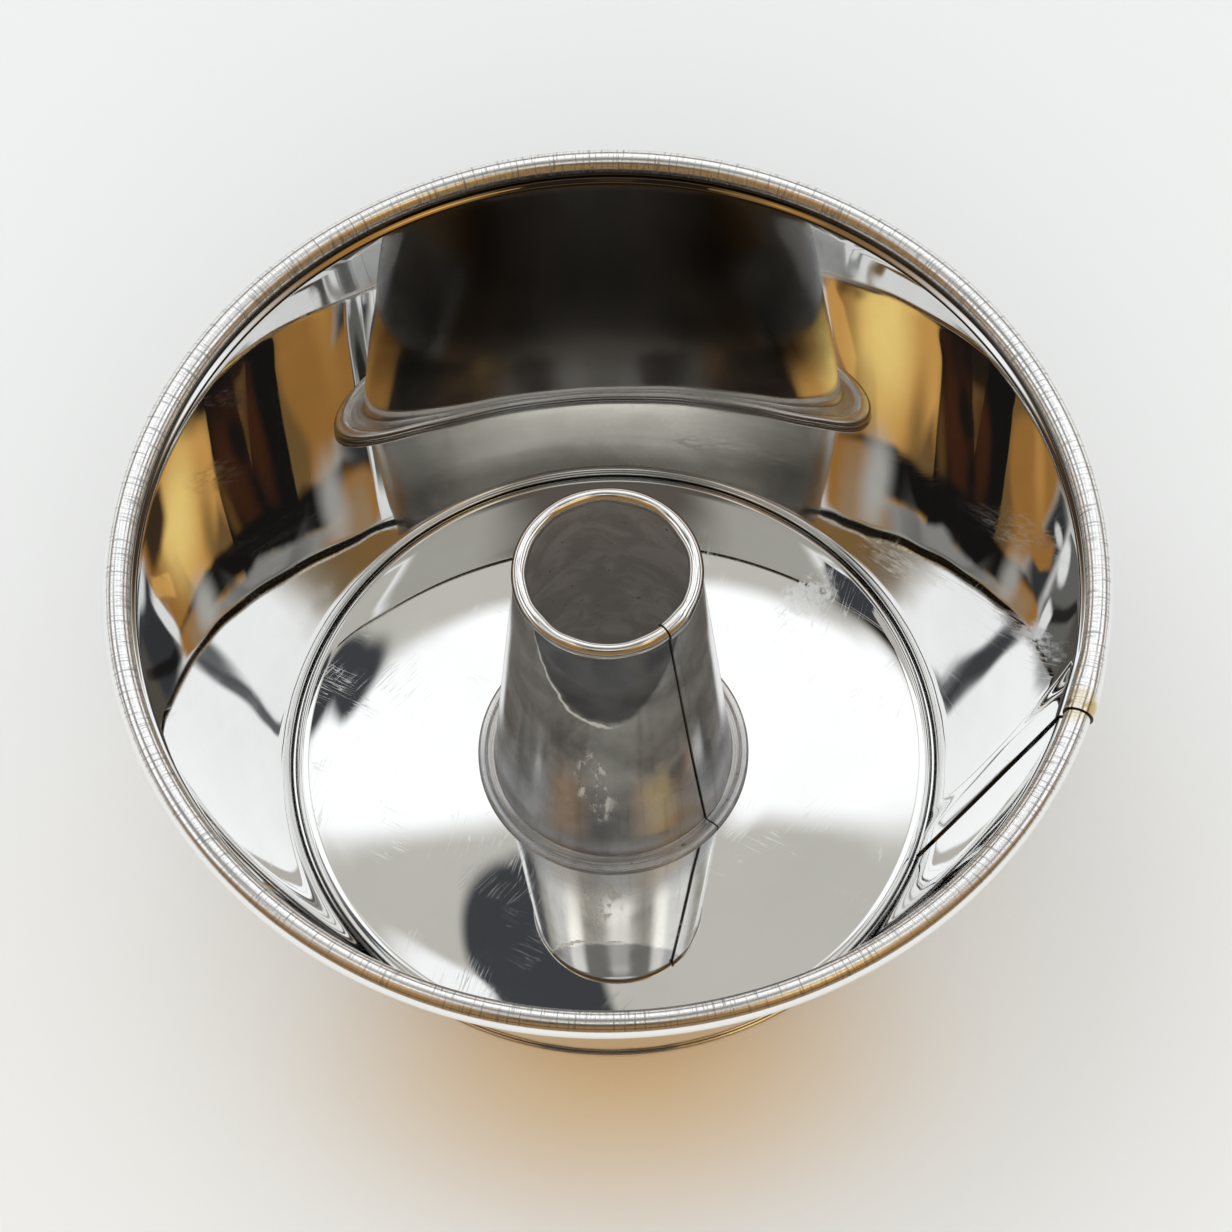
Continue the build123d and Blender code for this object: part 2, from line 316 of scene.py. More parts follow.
def mark_inside(made):
    """Marks the points whose side faces the tube's axis."""
    mesh = made.data
    normals = np.empty(len(mesh.vertices) * 3, np.float32)
    places = np.empty(len(mesh.vertices) * 3, np.float32)
    mesh.vertices.foreach_get("normal", normals)
    mesh.vertices.foreach_get("co", places)
    normals = normals.reshape(-1, 3)
    places = places.reshape(-1, 3)
    inward = -(normals[:, :2] * places[:, :2]).sum(1) / np.linalg.norm(places[:, :2], axis=1)
    low = places[:, 2] < (MOUTH_HEIGHT - 2) * MM
    mask = mesh.attributes.new("inner", "FLOAT", "POINT")
    mask.data.foreach_set("value", ((inward > 0.5) & low).astype(np.float32))


class LappedSheet:
    """One bent sheet turned round the axis, with its end lapped over its start. Below the split row
    the lap has no step, and a plain ring closes the foot there."""

    def __init__(self, foot_part, upper_part, hand, turn, lap, joggle):
        self.line = np.vstack([foot_part, upper_part[1:]])
        self.rows = len(self.line)
        self.split = len(foot_part) - 1
        self.along = np.concatenate([[0], np.cumsum(np.hypot(*np.diff(self.line, axis=0).T))])
        tangent = np.gradient(self.line, self.along, axis=0)
        tangent /= np.linalg.norm(tangent, axis=1)[:, None]
        self.side = hand * np.stack([-tangent[:, 1], tangent[:, 0]], -1)
        self.turn = turn
        self.lap = lap
        self.joggle = joggle

    def lay_seam(self, start, lean, top, rise):
        """Places the seam from its angle at the foot and its lean, and lifts the lap's outer layer."""
        share = np.clip((self.line[:, 1] - FLOOR_TOP) / (top - FLOOR_TOP), 0, 1)
        self.seam_start = start
        self.angle = np.radians((start + lean * share)[:, None] + self.turn[None, :])
        step = rise * (1 - smooth(self.turn, self.lap, self.lap + self.joggle))
        step = np.where(self.turn > 300, 0, step)
        self.lift = np.tile(step, (self.rows, 1))
        self.lift[: self.split] = 0

    def swept(self, rows, angle, lift):
        """Points of some rows turned about the axis, lifted to the sheet's outer side."""
        radius = self.line[:rows, 0][:, None] + self.side[:rows, 0][:, None] * lift
        height = self.line[:rows, 1][:, None] + self.side[:rows, 1][:, None] * lift
        return np.stack([radius * np.cos(angle), radius * np.sin(angle), height], -1).reshape(-1, 3)

    def sheet_places(self, rows, angle, radius):
        """Where some rows lie on the flat sheet, in metres."""
        along = np.broadcast_to(self.along[:rows, None] * MM, angle.shape)
        return np.stack([angle * radius * MM, along], -1).reshape(-1, 2)

    def make(self, name, material, thickness, radius, bead_steps, shaded_rows, shade_width, ring_count):
        """Builds the mesh, with its masks for the bead and for the painted shade and grime."""
        columns = len(self.turn)
        over = self.turn[:-1] < self.lap + self.joggle - 1e-9
        low = np.arange(self.rows - 1) < self.split
        quads = grid_faces(self.rows, columns, ~(low[:, None] & over[None, :]))
        points = self.swept(self.rows, self.angle, self.lift)
        uv = self.sheet_places(self.rows, self.angle, radius)

        ring_rows = self.split + 1
        ring_turn = np.linspace(self.lap, self.lap + self.joggle, ring_count)
        ring_angle = np.broadcast_to(np.radians(self.seam_start + ring_turn), (ring_rows, ring_count))
        quads = np.vstack([quads, grid_faces(ring_rows, ring_count, None, len(points))])
        points = np.vstack([points, self.swept(ring_rows, ring_angle, np.zeros(ring_angle.shape))])
        uv = np.vstack([uv, self.sheet_places(ring_rows, ring_angle, radius)])

        bead = np.zeros(self.rows)
        bead[self.rows - bead_steps - 1 :] = np.linspace(0, 1, bead_steps + 1)
        # painted shade along the given rows and at the lap's free edge
        shade_and_grime = np.maximum(shaded_rows[:, None], lap_shade(self.turn, shade_width)[None, :])
        masks = {
            "bead": np.concatenate([np.repeat(bead, columns), np.zeros(ring_rows * ring_count)]),
            "shade_and_grime": np.concatenate([shade_and_grime.ravel(), np.repeat(shaded_rows[:ring_rows], ring_count)]),
        }
        made = mesh_object(name, points, quads, uv, material, masks)
        thicken(made, thickness)
        return made


def lap_shade(turn, width):
    """Painted shade at a lap's free edge and on the sheet beneath it: one there, fading over a width in
    degrees.
    """
    away = np.minimum(turn, np.abs(turn - 360))
    return np.exp(-((away / width) ** 2))


# Helpers for materials


class Tree:
    """Short names for building a node tree. The material functions call theirs t."""

    def __init__(self, tree):
        self.tree = tree
        tree.nodes.clear()

    def node(self, kind, **settings):
        made = self.tree.nodes.new(kind)
        for key, value in settings.items():
            setattr(made, key, value)
        return made

    def put(self, socket, value):
        """Links a socket to another's output, or sets its value."""
        if isinstance(value, bpy.types.NodeSocket):
            self.tree.links.new(value, socket)
        elif value is not None:
            socket.default_value = value

    def math(self, operation, a, b=None, c=None):
        made = self.node("ShaderNodeMath", operation=operation)
        for socket, value in zip(made.inputs, (a, b, c)):
            self.put(socket, value)
        return made.outputs[0]

    def times(self, a, b):
        return self.math("MULTIPLY", a, b)

    def plus(self, a, b):
        return self.math("ADD", a, b)

    def either(self, a, b):
        return self.math("MAXIMUM", a, b)

    def gap(self, a, b):
        """How far one value lies from another."""
        return self.math("ABSOLUTE", self.math("SUBTRACT", a, b))

    def step(self, value, low, high, out_low=0.0, out_high=1.0):
        """Runs smoothly from out_low to out_high while the value goes from low to high."""
        made = self.node("ShaderNodeMapRange", interpolation_type="SMOOTHSTEP")
        for name, number in (
            ("Value", value),
            ("From Min", low),
            ("From Max", high),
            ("To Min", out_low),
            ("To Max", out_high),
        ):
            self.put(made.inputs[name], number)
        return made.outputs["Result"]

    def mix(self, share, a, b):
        """Mixes two colours."""
        made = self.node("ShaderNodeMix", data_type="RGBA")
        self.put(made.inputs[0], share)
        self.put(made.inputs[6], a)
        self.put(made.inputs[7], b)
        return made.outputs[2]

    def blend(self, share, a, b):
        """Mixes two numbers."""
        made = self.node("ShaderNodeMix", data_type="FLOAT")
        self.put(made.inputs[0], share)
        self.put(made.inputs[2], a)
        self.put(made.inputs[3], b)
        return made.outputs[0]

    def noise(self, vector, scale, detail=2.0, roughness=0.5, distortion=0.0):
        made = self.node("ShaderNodeTexNoise")
        self.put(made.inputs["Vector"], vector)
        self.put(made.inputs["Scale"], scale)
        self.put(made.inputs["Detail"], detail)
        self.put(made.inputs["Roughness"], roughness)
        self.put(made.inputs["Distortion"], distortion)
        return made.outputs["Fac"]

    def stretch(self, vector, x, y, z=1.0):
        made = self.node("ShaderNodeVectorMath", operation="MULTIPLY")
        self.put(made.inputs[0], vector)
        made.inputs[1].default_value = (x, y, z)
        return made.outputs[0]

    def split(self, vector):
        made = self.node("ShaderNodeSeparateXYZ")
        self.put(made.inputs[0], vector)
        return made.outputs

    def place(self):
        return self.node("ShaderNodeTexCoord").outputs["Object"]

    def sheet(self):
        return self.node("ShaderNodeUVMap", uv_map="sheet").outputs[0]

    def mask(self, name):
        return self.node("ShaderNodeAttribute", attribute_name=name).outputs["Fac"]

    def bump(self, height, strength, distance, normal=None):
        made = self.node("ShaderNodeBump")
        made.inputs["Strength"].default_value = strength
        made.inputs["Distance"].default_value = distance
        self.put(made.inputs["Height"], height)
        self.put(made.inputs["Normal"], normal)
        return made.outputs[0]


def colour(red, green, blue):
    """A colour given as it looks on a screen, 0 to 255, as linear light."""
    linear = []
    for value in (red, green, blue):
        share = value / 255
        linear.append(share / 12.92 if share <= 0.04045 else ((share + 0.055) / 1.055) ** 2.4)
    return (*linear, 1.0)


def new_material(name):
    """A material with a shader and its output, as (material, tree, shader)."""
    material = bpy.data.materials.new(name)
    material.use_nodes = True
    tree = Tree(material.node_tree)
    out = tree.node("ShaderNodeOutputMaterial")
    surface = tree.node("ShaderNodeBsdfPrincipled")
    tree.tree.links.new(surface.outputs[0], out.inputs[0])
    return material, tree, surface


def spot(t, place, x, y, z, size, rough=0.5):
    """One inside a soft uneven spot around a point, in metres."""
    away = t.node("ShaderNodeVectorMath", operation="DISTANCE")
    t.put(away.inputs[0], place)
    away.inputs[1].default_value = (x, y, z)
    uneven = t.math("MULTIPLY_ADD", t.noise(place, 0.9 / size, 3.0), rough * size, -0.5 * rough * size)
    return t.step(t.plus(away.outputs["Value"], uneven), 0.5 * size, size, 1.0, 0.0)


def scratches(t, vector, scale, turn, stretch, thin):
    """Sparse straight scratches in one direction."""
    turned = t.node("ShaderNodeVectorRotate", rotation_type="EULER_XYZ")
    t.put(turned.inputs["Vector"], vector)
    turned.inputs["Rotation"].default_value = turn
    long_way = t.stretch(turned.outputs[0], scale * stretch, scale, scale * stretch)
    fine = t.gap(t.noise(long_way, 1.0, 1.0, 0.4), 0.5)
    where = t.noise(turned.outputs[0], scale * 0.05, 2.0)
    return t.times(t.step(fine, thin * 0.3, thin, 1.0, 0.0), t.step(where, 0.56, 0.66))


# Materials of the pan

# black of the painted shade in creases, lap gaps and along the hem, with some dirt in the neck
SHADE_AND_GRIME_BLACK = (0.02, 0.02, 0.02, 1.0)
WELD_MARKS = (
    # distance from the axis and size in millimetres, tint and share
    (98.5, 5.0, (0.72, 0.60, 0.36, 1.0), 0.55),
    (96.9, 1.1, (0.16, 0.12, 0.09, 1.0), 0.75),
    (99.6, 1.5, (0.22, 0.15, 0.10, 1.0), 0.80),
    (101.0, 2.2, (0.62, 0.45, 0.18, 1.0), 0.80),
)
WELD_ANGLE = math.radians(-20.6)
WELD_HEIGHT = 85.5
FLOOR_SMUDGES = (
    # place x and y and size in millimetres, and added roughness
    (14.0, 47.0, 9.0, 0.16),
    (45.0, 38.0, 7.0, 0.14),
    (-26.0, -54.0, 12.0, 0.02),
)


def bead_tone(t, bead, tick, coarse, place):
    """Colour of the rolled rim: ticks of the rolling machine, pits on its inner side and a painted shade
    line along its crown.
    """
    tone = t.mix(t.step(tick, 0.50, 0.66), (0.92, 0.92, 0.91, 1.0), (0.48, 0.48, 0.47, 1.0))
    tone = t.mix(t.step(coarse, 0.66, 0.74, 0.0, 0.45), tone, (0.42, 0.41, 0.40, 1.0))
    inner = t.step(bead, 0.17, 0.27, 1.0, 0.0)
    pits = t.step(t.noise(place, 1500.0, 3.0, 0.65), 0.48, 0.70, 0.1, 0.7)
    tone = t.mix(t.times(inner, pits), tone, (0.42, 0.42, 0.41, 1.0))
    # painted shade line along the bead's crown
    line = t.gap(bead, 0.50)
    return t.mix(t.step(line, 0.002, 0.010, 0.7, 0.0), tone, (0.25, 0.25, 0.25, 1.0))


def wall_tin():
    """Bright tinplate of the side wall, with its satin bead."""
    material, t, surface = new_material("bright_tinplate")
    sheet = t.sheet()
    place = t.place()
    bead = t.mask("bead")
    height = t.split(place)[2]
    surface.inputs["Metallic"].default_value = 1.0

    on_bead = t.step(bead, 0.02, 0.06)
    mottle = t.noise(place, 28.0, 4.0, 0.6)
    tin = t.mix(t.step(mottle, 0.3, 0.75), (0.80, 0.80, 0.79, 1.0), (0.75, 0.75, 0.735, 1.0))
    ticked = t.step(bead, 0.52, 0.60, 1.0, 0.15)
    tick = t.times(t.noise(t.stretch(sheet, 1500.0, 110.0), 1.0, 3.0, 0.65), ticked)
    coarse = t.times(t.noise(t.stretch(sheet, 620.0, 60.0), 1.0, 2.0, 0.6), ticked)
    tin = t.mix(on_bead, tin, bead_tone(t, bead, tick, coarse, place))
    # heat tint and burn spots where the rim's lap is welded
    for far, size, tint, share in WELD_MARKS:
        x = far * MM * math.cos(WELD_ANGLE)
        y = far * MM * math.sin(WELD_ANGLE)
        mark = spot(t, place, x, y, WELD_HEIGHT * MM, size * MM)
        tin = t.mix(t.times(t.times(mark, on_bead), share), tin, tint)
    # the painted shade lies outside on the hem, and not inside behind it
    hem = t.either(t.step(height, 2.0 * MM, 2.4 * MM, 1.0, 0.0), t.step(height, 3.2 * MM, 3.4 * MM))
    shade_and_grime = t.times(t.mask("shade_and_grime"), hem)
    # the dark lines are painted shade in the creases, the lap's gap and the hem, with some dirt in the
    # neck
    t.put(surface.inputs["Base Color"], t.mix(t.step(shade_and_grime, 0.3, 0.8), tin, SHADE_AND_GRIME_BLACK))

    cloud = t.noise(place, 16.0, 3.0, 0.6)
    wiped = scratches(t, place, 1100.0, (0.4, 0.9, 0.3), 0.03, 0.03)
    wiped = t.either(wiped, scratches(t, place, 900.0, (1.2, -0.5, 1.4), 0.03, 0.03))
    low = t.step(height, 3 * MM, 10 * MM, 0.035, 0.0)
    mirror = t.plus(t.step(cloud, 0.50, 0.80, 0.010, 0.055), t.math("MULTIPLY_ADD", wiped, 0.035, low))
    satin = t.times(t.step(bead, 0.50, 0.62, 1.0, 0.5), t.step(tick, 0.35, 0.7, 0.18, 0.28))
    t.put(surface.inputs["Roughness"], t.blend(on_bead, mirror, satin))

    # shallow buckles in the sheet, and the bead's ticks
    wavy = t.noise(place, 38.0, 1.0, 0.4)
    relief = t.times(t.plus(t.times(tick, 0.6), t.times(coarse, 0.4)), on_bead)
    normal = t.bump(wavy, 0.10, 0.00010)
    t.put(surface.inputs["Normal"], t.bump(relief, 0.20, 0.00005, normal))
    return material


def floor_tin():
    """The brightest sheet: the floor, with smudges and short scratches."""
    material, t, surface = new_material("floor_tinplate")
    place = t.place()
    surface.inputs["Metallic"].default_value = 1.0
    mottle = t.noise(place, 34.0, 4.0, 0.6)
    tin = t.mix(t.step(mottle, 0.3, 0.75), (0.81, 0.81, 0.80, 1.0), (0.77, 0.77, 0.755, 1.0))
    t.put(surface.inputs["Base Color"], tin)
    marks = scratches(t, place, 1500.0, (0, 0, 0.5), 0.05, 0.03)
    marks = t.either(marks, scratches(t, place, 1200.0, (0, 0, -0.8), 0.05, 0.03))
    marks = t.either(marks, scratches(t, place, 900.0, (0, 0, 1.9), 0.06, 0.03))
    cloud = t.noise(place, 22.0, 3.0, 0.6)
    rough = t.plus(t.step(cloud, 0.52, 0.8, 0.010, 0.06), t.times(marks, 0.07))
    prints = t.step(t.noise(t.stretch(place, 900.0, 500.0), 1.0, 3.0, 0.7), 0.35, 0.62)
    for x, y, size, added in FLOOR_SMUDGES:
        smudge = t.times(spot(t, place, x * MM, y * MM, FLOOR_TOP * MM, size * MM, 1.0), prints)
        rough = t.math("MULTIPLY_ADD", smudge, added, rough)
    t.put(surface.inputs["Roughness"], rough)
    t.put(surface.inputs["Normal"], t.bump(t.noise(place, 30.0, 1.0, 0.4), 0.08, 0.00010))
    return material


def tube_cap(t, place, height):
    """Masks of the smoother cap under the mouth, whose darker colour is a painted dark reflection, and of
    the chalky line along part of its edge.
    """
    x, y, _ = t.split(place)
    angle = t.times(t.math("ARCTAN2", y, x), 180 / math.pi)
    turn = t.math("DIVIDE", t.plus(angle, 93.0), 50.0)
    uneven = t.math("MULTIPLY_ADD", t.noise(place, 120.0, 3.0), 0.008, -0.004)
    edge = t.math("MULTIPLY_ADD", t.times(turn, turn), 0.026, 0.056)
    over = t.math("SUBTRACT", t.plus(height, uneven), edge)
    line = t.step(t.math("ABSOLUTE", over), 0.0, 0.0011, 1.0, 0.0)
    line = t.times(line, t.step(angle, -96.0, -84.0, 1.0, 0.0))
    line = t.times(line, t.step(angle, -150.0, -135.0))
    return t.step(over, 0.0, 0.0025), line


def tube_chalk(t, place):
    """Mask of the upright smears of chalk low on the front."""
    smear = t.step(t.noise(t.stretch(place, 1.6, 1.6, 0.5), 300.0, 4.0, 0.7), 0.50, 0.64)
    body = spot(t, t.stretch(place, 2.2, 1.0, 0.75), -8.0 * MM, -25.0 * MM, 24.0 * MM, 14.0 * MM, 1.0)
    return t.times(smear, body)


def tube_inside(t, place):
    """Colour of the tube's inside: faint blotches and a few dark specks."""
    blotch = t.noise(place, 110.0, 4.0, 0.6, 0.8)
    tone = t.mix(t.step(blotch, 0.38, 0.62), (0.74, 0.73, 0.71, 1.0), (0.92, 0.91, 0.90, 1.0))
    specks = t.noise(place, 700.0, 2.0, 0.5)
    return t.mix(t.step(specks, 0.70, 0.75), tone, (0.20, 0.19, 0.18, 1.0))


def tube_tin():
    """Dull, stained tinplate of the tube, its mouth bead rubbed bright."""
    material, t, surface = new_material("dull_tinplate")
    sheet = t.sheet()
    place = t.place()
    inside = t.mask("inner")
    height = t.split(place)[2]
    behind = t.step(t.split(place)[1], -0.004, 0.012)
    front = t.step(t.split(place)[1], -0.004, 0.012, 1.0, 0.0)
    mouth = t.step(t.mask("bead"), 0.03, 0.08)

    # clear metal near the foot, and worn and stained above it, most of all behind
    cloud = t.noise(place, 60.0, 5.0, 0.65, 0.4)
    mottle = t.step(cloud, 0.3, 0.7)
    streak = t.noise(t.stretch(sheet, 420.0, 26.0), 1.0, 4.0, 0.6)
    tone = t.mix(mottle, (0.52, 0.54, 0.56, 1.0), (0.70, 0.72, 0.74, 1.0))
    tone = t.mix(behind, tone, (0.80, 0.79, 0.77, 1.0))
    worn = t.mix(mottle, (0.56, 0.55, 0.53, 1.0), (0.80, 0.79, 0.76, 1.0))
    worn = t.mix(behind, worn, (0.16, 0.15, 0.14, 1.0))
    rise = t.math("MULTIPLY_ADD", t.noise(place, 70.0, 3.0), 0.016, -0.008)
    rise = t.math("MULTIPLY_ADD", behind, 0.012, rise)
    tone = t.mix(t.step(t.plus(height, rise), 0.018, 0.036), tone, worn)
    tone = t.mix(t.step(streak, 0.48, 0.75, 0.0, 0.4), tone, (0.30, 0.285, 0.26, 1.0))
    smooth_dark_reflection_cap, cap_line = tube_cap(t, place, height)
    # painted dark reflection on the cap under the mouth
    tone = t.mix(t.times(smooth_dark_reflection_cap, 0.85), tone, (0.17, 0.17, 0.175, 1.0))
    chalk = t.either(tube_chalk(t, place), cap_line)
    tone = t.mix(t.times(chalk, 0.85), tone, (0.97, 0.93, 0.84, 1.0))
    # painted warm glow beside the lap's foot
    painted_warm_glow = spot(t, place, 14.5 * MM, -20.5 * MM, 9.0 * MM, 9.0 * MM, 1.0)
    tone = t.mix(t.times(painted_warm_glow, 0.35), tone, (0.62, 0.42, 0.22, 1.0))
    # the foot ring is grooved along its length
    ring = t.step(height, 3.6 * MM, 4.1 * MM, 1.0, 0.0)
    groove = t.noise(t.stretch(sheet, 60.0, 5200.0), 1.0, 3.0, 0.6)
    ring_tone = t.mix(t.step(groove, 0.35, 0.65), (0.62, 0.61, 0.59, 1.0), (0.36, 0.34, 0.32, 1.0))
    tone = t.mix(ring, tone, ring_tone)
    tone = t.mix(inside, tone, tube_inside(t, place))
    tone = t.mix(mouth, tone, (0.84, 0.83, 0.81, 1.0))
    # painted shade at the lap's free edge
    tone = t.mix(t.step(t.mask("shade_and_grime"), 0.3, 0.8), tone, (0.02, 0.018, 0.016, 1.0))
    t.put(surface.inputs["Base Color"], tone)

    # the front is dulled by oxide and the chalk is matt, and the rest is bare metal
    oxide = t.times(front, t.step(cloud, 0.3, 0.7, 0.14, 0.26))
    matt = t.times(t.either(oxide, t.times(chalk, 0.85)), t.math("SUBTRACT", 1.0, mouth))
    t.put(surface.inputs["Metallic"], t.math("SUBTRACT", 1.0, matt))

    low = t.times(t.step(height, 0.018, 0.036, 0.20, 0.0), front)
    rough = t.plus(t.step(cloud, 0.3, 0.7, 0.09, 0.15), t.times(chalk, 0.30))
    rough = t.math("SUBTRACT", t.plus(rough, low), t.times(smooth_dark_reflection_cap, 0.04))
    for mask, least, most, driver in (
        (ring, 0.16, 0.26, groove),
        (inside, 0.50, 0.62, cloud),
        (mouth, 0.10, 0.17, streak),
    ):
        rough = t.blend(mask, rough, t.step(driver, 0.3, 0.7, least, most))
    t.put(surface.inputs["Roughness"], rough)
    normal = t.bump(t.noise(place, 45.0, 1.0, 0.4), 0.12, 0.00012)
    normal = t.bump(t.times(groove, ring), 0.5, 0.00005, normal)
    t.put(surface.inputs["Normal"], t.bump(chalk, 0.3, 0.00004, normal))
    return material


def wire_steel():
    """Drawn steel of the rim wire, seen only at the roll's open side."""
    material, t, surface = new_material("drawn_wire")
    drawn = t.noise(t.stretch(t.place(), 300.0, 300.0, 4000.0), 1.0, 3.0)
    t.put(surface.inputs["Base Color"], t.mix(drawn, (0.42, 0.41, 0.40, 1.0), (0.55, 0.55, 0.54, 1.0)))
    surface.inputs["Metallic"].default_value = 1.0
    t.put(surface.inputs["Roughness"], t.step(drawn, 0.3, 0.7, 0.3, 0.5))
    return material


# Materials of the studio


def table_paint():
    """Pale table, with a warm glow under the front of the flared wall."""
    material, t, surface = new_material("studio_floor")
    x, y, _ = t.split(t.place())
    across = t.math("DIVIDE", x, 0.085)
    deep = t.math("DIVIDE", t.plus(y, 0.070), 0.052)
    far = t.math("SQRT", t.plus(t.math("POWER", across, 2.0), t.math("POWER", deep, 2.0)))
    glow = t.step(far, 0.0, 1.0, 1.0, 0.0)
    wide = t.step(far, 0.3, 2.8, 0.6, 0.0)
    plain = t.mix(wide, colour(248, 249, 249), colour(250, 244, 235))
    t.put(surface.inputs["Base Color"], t.mix(glow, plain, colour(246, 214, 168)))
    surface.inputs["Roughness"].default_value = 0.8
    surface.inputs["Specular IOR Level"].default_value = 0.1
    return material


def studio_world():
    """Pale to the camera and to matt surfaces, and a low horizon to mirrors."""
    world = bpy.data.worlds.new("studio")
    bpy.context.scene.world = world
    world.use_nodes = True
    t = Tree(world.node_tree)
    out = t.node("ShaderNodeOutputWorld")
    path = t.node("ShaderNodeLightPath")
    y = t.split(t.node("ShaderNodeTexCoord").outputs["Generated"])[1]
    horizon = t.mix(t.step(y, -0.5, 0.1), (*PALETTE["wood"], 1.0), (0.8, 0.79, 0.77, 1.0))
    level = t.mix(path.outputs["Is Glossy Ray"], (0.78, 0.785, 0.78, 1.0), horizon)
    level = t.mix(path.outputs["Is Camera Ray"], level, (0.87, 0.87, 0.86, 1.0))
    light = t.node("ShaderNodeBackground")
    t.put(light.inputs["Color"], level)
    light.inputs["Strength"].default_value = 1.0
    t.tree.links.new(light.outputs[0], out.inputs[0])


def rippled(t, place):
    """Places on the card, shifted a little so that no edge on it is ruled."""
    noise = t.node("ShaderNodeTexNoise")
    t.put(noise.inputs["Vector"], place)
    noise.inputs["Scale"].default_value = 6.0
    noise.inputs["Detail"].default_value = 2.0
    shift = t.node("ShaderNodeVectorMath", operation="MULTIPLY_ADD")
    t.put(shift.inputs[0], noise.outputs["Color"])
    shift.inputs[1].default_value = (0.03, 0.03, 0.0)
    shift.inputs[2].default_value = (-0.015, -0.015, 0.0)
    moved = t.node("ShaderNodeVectorMath", operation="ADD")
    t.put(moved.inputs[0], place)
    t.put(moved.inputs[1], shift.outputs[0])
    return moved.outputs[0]


def patch_mask(t, place, front, shape, x, y, half_x, half_y, turn, soft):
    """One on a patch of the card. A box has rounded corners, and a ring is drawn at the front alone."""
    local = t.node("ShaderNodeMapping", vector_type="TEXTURE")
    t.put(local.inputs["Vector"], place)
    local.inputs["Location"].default_value = (x, y, 0)
    local.inputs["Rotation"].default_value = (0, 0, math.radians(turn))
    local.inputs["Scale"].default_value = (half_x, half_y, 1)
    if shape == "box":
        u, v, _ = t.split(local.outputs[0])
        u = t.math("POWER", t.math("ABSOLUTE", u), 6.0)
        v = t.math("POWER", t.math("ABSOLUTE", v), 6.0)
        far = t.math("POWER", t.plus(u, v), 1 / 6)
    else:
        length = t.node("ShaderNodeVectorMath", operation="LENGTH")
        t.put(length.inputs[0], t.stretch(local.outputs[0], 1.0, 1.0, 0.0))
        far = length.outputs["Value"]
    if shape == "ring":
        far = t.math("DIVIDE", t.gap(far, 1.0), soft)
        return t.times(t.step(far, 0.7, 1.3, 1.0, 0.0), front)
    return t.step(far, 1 - soft, 1 + soft, 1.0, 0.0)


def card_paint():
    """The card's light, laid on patch by patch."""
    material = bpy.data.materials.new("studio_card")
    material.use_nodes = True
    t = Tree(material.node_tree)
    out = t.node("ShaderNodeOutputMaterial")
    place = rippled(t, t.stretch(t.place(), 1 / CARD_HEIGHT, 1 / CARD_HEIGHT))
    front = t.step(t.split(place)[1], -0.25, -0.12, 1.0, 0.0)
    seen = (*PALETTE["white"], 1.0)
    for tint, shape, x, y, half_x, half_y, turn, soft, share in PATCHES:
        mask = patch_mask(t, place, front, shape, x, y, half_x, half_y, turn, soft)
        if share < 1:
            mask = t.times(mask, share)
        seen = t.mix(mask, seen, (*PALETTE[tint], 1.0))
    light = t.node("ShaderNodeEmission")
    t.put(light.inputs["Color"], seen)
    light.inputs["Strength"].default_value = 1.0
    t.tree.links.new(light.outputs[0], out.inputs[0])
    material.cycles.emission_sampling = "NONE"
    return material


# Side wall


def wall_profile():
    """The wall's middle line in two parts: ledge, folded foot and hem, then cone, neck and rolled rim."""
    half = WALL_SHEET / 2
    hem = BASE_RADIUS - FOOT_BEND - half
    foot = np.array([hem, half + 3 * FOOT_BEND])
    ledge_start = (FLOOR_RADIUS - LEDGE, half)
    bead = np.array([BEAD_CENTRE, RIM_HEIGHT])
    bead_bend = RIM_BEAD - half
    crease = bead + polar(bead_bend + NECK_BEND, NECK_MEETS_BEAD)
    neck_end = crease - polar(NECK_BEND, NECK_SLOPE + 90)
    neck_start = neck_end - polar(NECK_FLAT, NECK_SLOPE)
    neck = neck_start + polar(NECK_BEND, NECK_SLOPE - 90)
    heading, run = tangent_run(foot, FOOT_BEND, neck, NECK_BEND)
    start = foot + polar(FOOT_BEND, heading + 90)
    notch = (FLOOR_TOP + NOTCH_HEIGHT - start[1]) / math.sin(math.radians(heading))
    foot_part = walk(
        ledge_start,
        0,
        [
            flat(hem - ledge_start[0], 3),
            bend(FOOT_BEND, 180, 8),
            bend(FOOT_BEND, heading - 180, 5),
            flat(notch, 2),
        ],
    )
    upper_part = walk(
        start + polar(notch, heading),
        heading,
        [
            flat(run - notch, 58),
            bend(NECK_BEND, NECK_SLOPE - heading, 4),
            flat(NECK_FLAT, 2),
            bend(NECK_BEND, NECK_MEETS_BEAD - 90 - NECK_SLOPE, 7),
            bend(bead_bend, -RIM_WRAP, RIM_STEPS),
        ],
    )
    return foot_part, upper_part


def wall_columns(lap, joggle):
    """Angles of the wall's columns from its seam, close together at the lap's two edges."""
    edge = [0, 0.05, 0.1, 0.16]
    fine = np.arange(0.22, lap + joggle, 0.22)
    rest = np.linspace(lap + joggle, 359, 310)
    end = np.linspace(359.75, 360.25, 11)
    over = np.linspace(360.25, 360 + lap, 9)[1:]
    return np.concatenate([edge, fine, rest, end, over])


